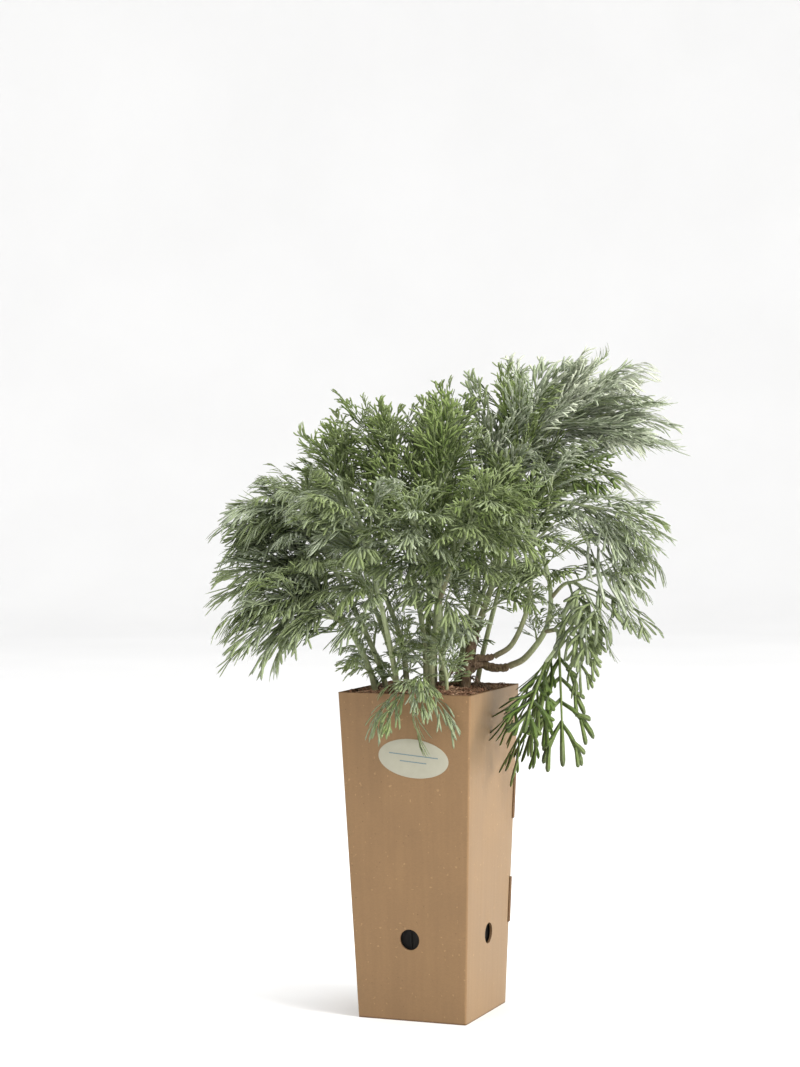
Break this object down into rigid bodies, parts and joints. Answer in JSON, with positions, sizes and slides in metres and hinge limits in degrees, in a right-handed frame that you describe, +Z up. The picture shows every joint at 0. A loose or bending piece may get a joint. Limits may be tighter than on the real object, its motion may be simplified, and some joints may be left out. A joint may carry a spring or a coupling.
{
  "type": "potted tree wormwood",
  "caption": "Bushy tree wormwood with finely cut silver-grey leaves, growing in a deep square pot inside a tapered kraft-board sleeve with round vent holes.",
  "frame": {"origin": "middle of the sleeve's flat underside, where it stands on the floor", "axes": "+Z up along the pot's axis; -Y out of the sleeve's face with the oval label; +X to the right of that face"},
  "size_m": [0.3106, 0.2519, 0.4515],
  "materials": {
    "kraft_board": "raw brown kraft liner, matte, fine fibres",
    "label_paper": "satin cream sticker, bare",
    "black_plastic": "moulded black nursery pot, slight sheen",
    "potting_mix": "moist bark and coir crumbs",
    "bark": "young brown bark, dull",
    "silver_foliage": "felted grey-green, silvery, very matte"
  },
  "bodies": {
    "root": {"cardboard_sleeve": "kraft_board", "oval_label": "label_paper", "inner_pot": "black_plastic", "potting_soil": "potting_mix", "woody_base": "bark", "left_low_stem": "silver_foliage", "left_mid_stem": "silver_foliage", "left_high_stem": "silver_foliage", "left_front_stem": "silver_foliage", "upper_left_stem": "silver_foliage", "front_stem": "silver_foliage", "central_stem": "silver_foliage", "crown_stem": "silver_foliage", "right_high_stem": "silver_foliage", "right_mid_stem": "silver_foliage", "arching_stem": "silver_foliage", "lower_right_stem": "silver_foliage", "front_low_shoot": "silver_foliage", "low_middle_shoot": "silver_foliage", "back_left_stem": "silver_foliage", "back_stem": "silver_foliage", "back_right_stem": "silver_foliage", "back_high_stem": "silver_foliage"}
  },
  "joints": []
}
